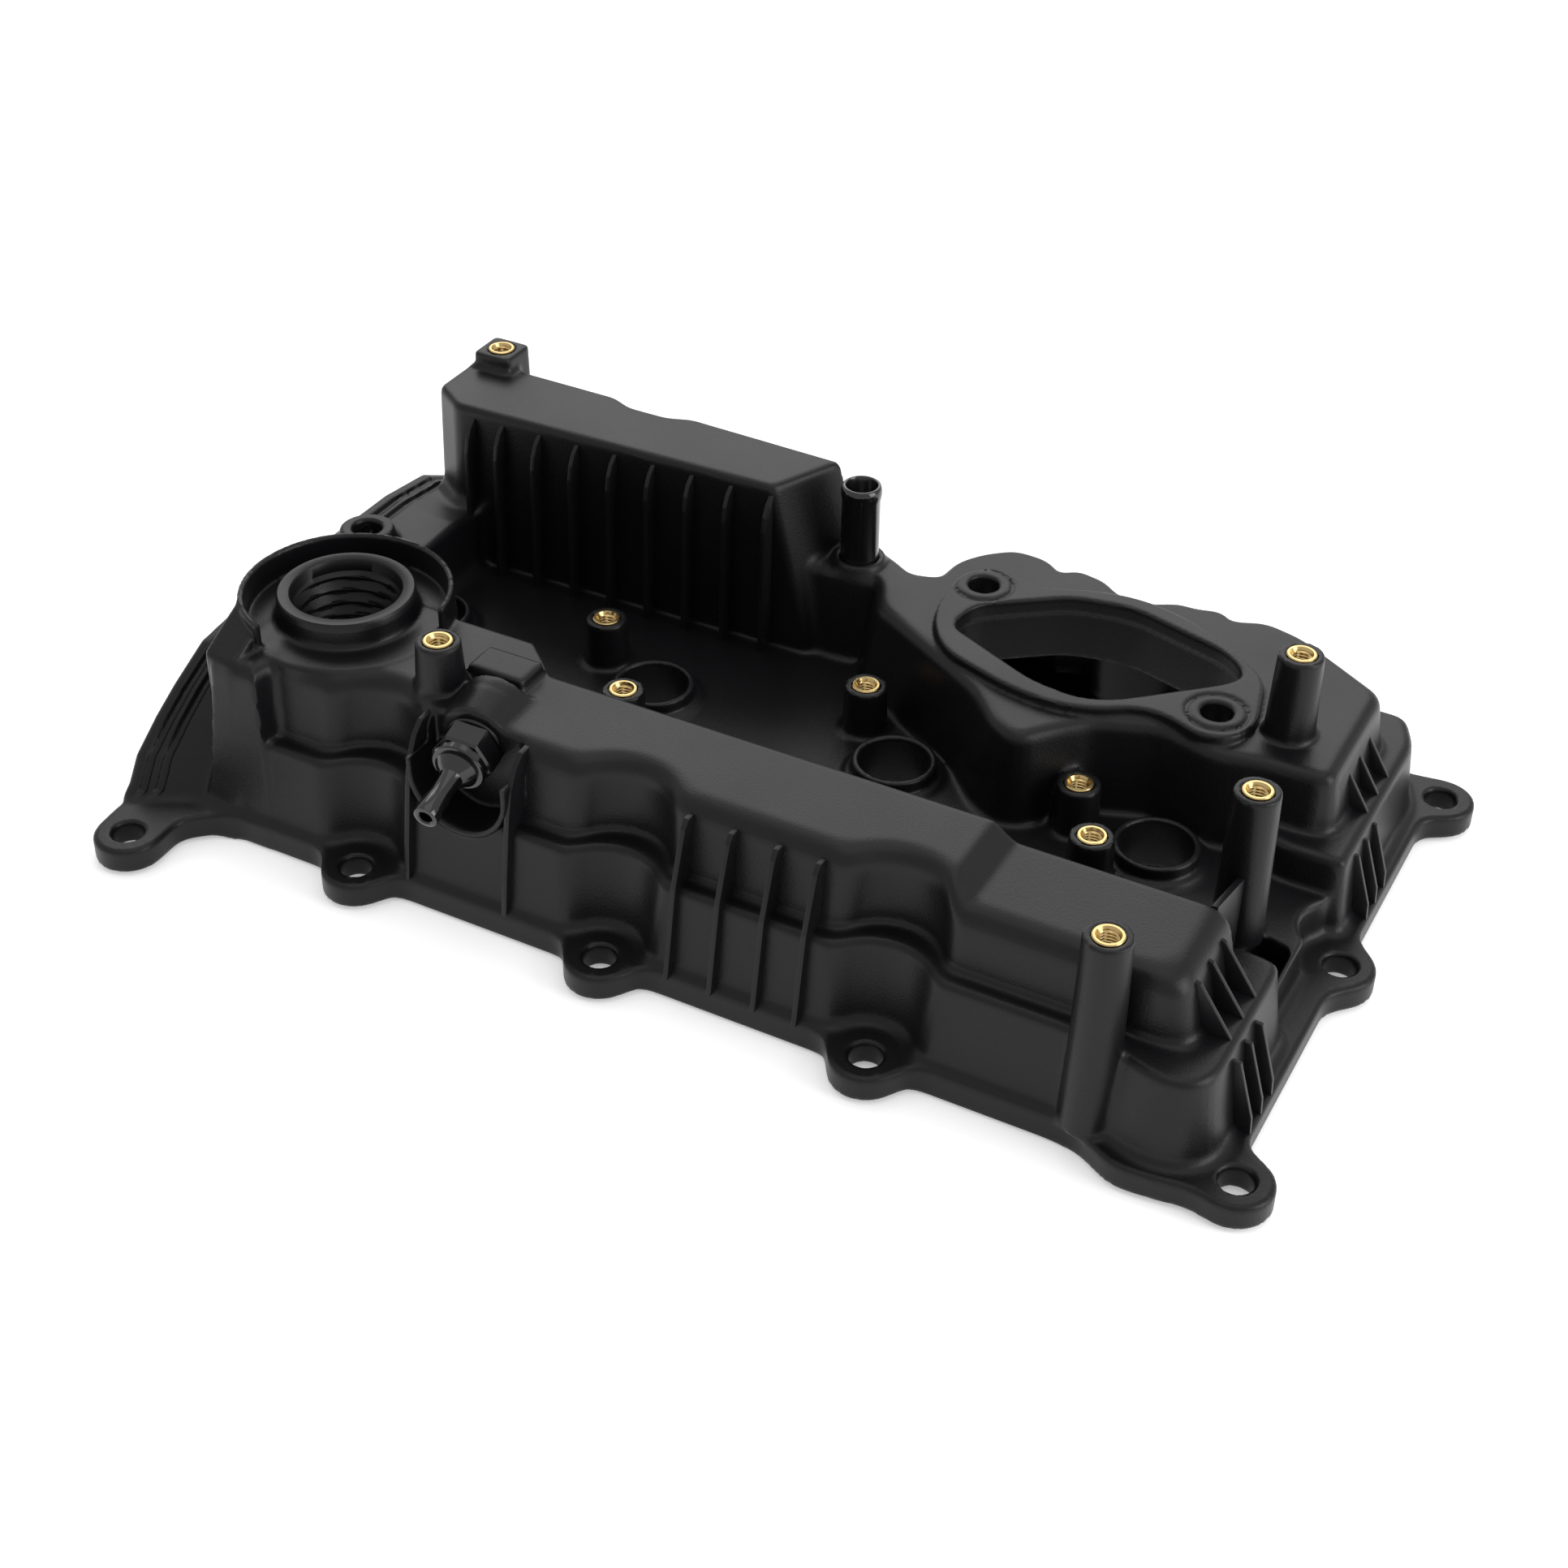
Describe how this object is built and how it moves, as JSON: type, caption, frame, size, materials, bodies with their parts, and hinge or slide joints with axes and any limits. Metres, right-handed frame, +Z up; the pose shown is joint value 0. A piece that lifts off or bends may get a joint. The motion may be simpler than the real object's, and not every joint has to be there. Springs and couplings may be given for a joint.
{
  "type": "camshaft cover",
  "caption": "Moulded camshaft cover for an in-line engine with plug tubes, oil filler neck, oil separator box, pump pad and sprung ventilation valve.",
  "frame": {"origin": "centre of the bounding box in plan, underside of the loose seal", "axes": "+X along the engine from the timing end to the flywheel end, +Y from the front long side to the rear one, +Z up"},
  "size_m": [0.3686, 0.255, 0.0855],
  "materials": {
    "cover_nylon": "satin moulded glass-filled nylon",
    "insert_brass": "turned, knurled",
    "seal_rubber": "moulded",
    "gasket_rubber": "moulded",
    "gloss_nylon": "gloss",
    "valve_nylon": "gloss",
    "plunger_alloy": "turned",
    "spring_steel": "drawn wire",
    "ring_rubber": "moulded",
    "baffle_nylon": "moulded"
  },
  "bodies": {
    "cover": {"flange_front": "cover_nylon", "flange_rear": "cover_nylon", "flange_right": "cover_nylon", "flange_foot_front": "cover_nylon", "flange_foot_rear": "cover_nylon", "ears_front": "cover_nylon", "ears_rear": "cover_nylon", "ears_right": "cover_nylon", "ears_left": "cover_nylon", "arch_ear": "cover_nylon", "front_wall_lower": "cover_nylon", "front_wall_upper": "cover_nylon", "front_roof": "cover_nylon", "front_inner_wall": "cover_nylon", "front_end_wall": "cover_nylon", "valley_floor": "cover_nylon", "valley_end_wall": "cover_nylon", "plug_wells": "cover_nylon", "rear_wall_lower": "cover_nylon", "rear_wall_upper": "cover_nylon", "separator_front": "cover_nylon", "separator_back": "cover_nylon", "separator_roof": "cover_nylon", "separator_end": "cover_nylon", "pump_front_wall": "cover_nylon", "pump_roof": "cover_nylon", "pump_pads": "cover_nylon", "rear_end_wall": "cover_nylon", "left_end_wall": "cover_nylon", "timing_arch": "cover_nylon", "filler_neck": "cover_nylon", "filler_dish": "cover_nylon", "valve_boss": "cover_nylon", "bracket_posts": "cover_nylon", "corner_lug": "cover_nylon", "coil_bosses": "cover_nylon", "perimeter_gasket": "gasket_rubber", "seal_1": "seal_rubber", "seal_2": "seal_rubber", "seal_3": "seal_rubber", "seal_4": "seal_rubber", "insert_1": "insert_brass", "insert_2": "insert_brass", "insert_3": "insert_brass", "insert_4": "insert_brass", "insert_5": "insert_brass", "insert_6": "insert_brass", "insert_7": "insert_brass", "insert_8": "insert_brass", "insert_9": "insert_brass", "insert_10": "insert_brass", "breather_pipe": "gloss_nylon", "separator_plate": "baffle_nylon", "front_baffle": "baffle_nylon", "valve_body": "valve_nylon", "valve_spring": "spring_steel", "valve_seat": "valve_nylon", "valve_ring": "ring_rubber"},
    "plunger": {"valve_plunger": "plunger_alloy"}
  },
  "joints": [
    {"name": "valve_plunger_slide", "type": "slide", "parent": "cover", "child": "plunger", "axis": [0.1166, -0.9776, -0.1754], "range_m": [0, 0.003], "stiffness_N_per_m": 50, "springref_m": -0.006, "deforming": ["valve_spring"]}
  ]
}
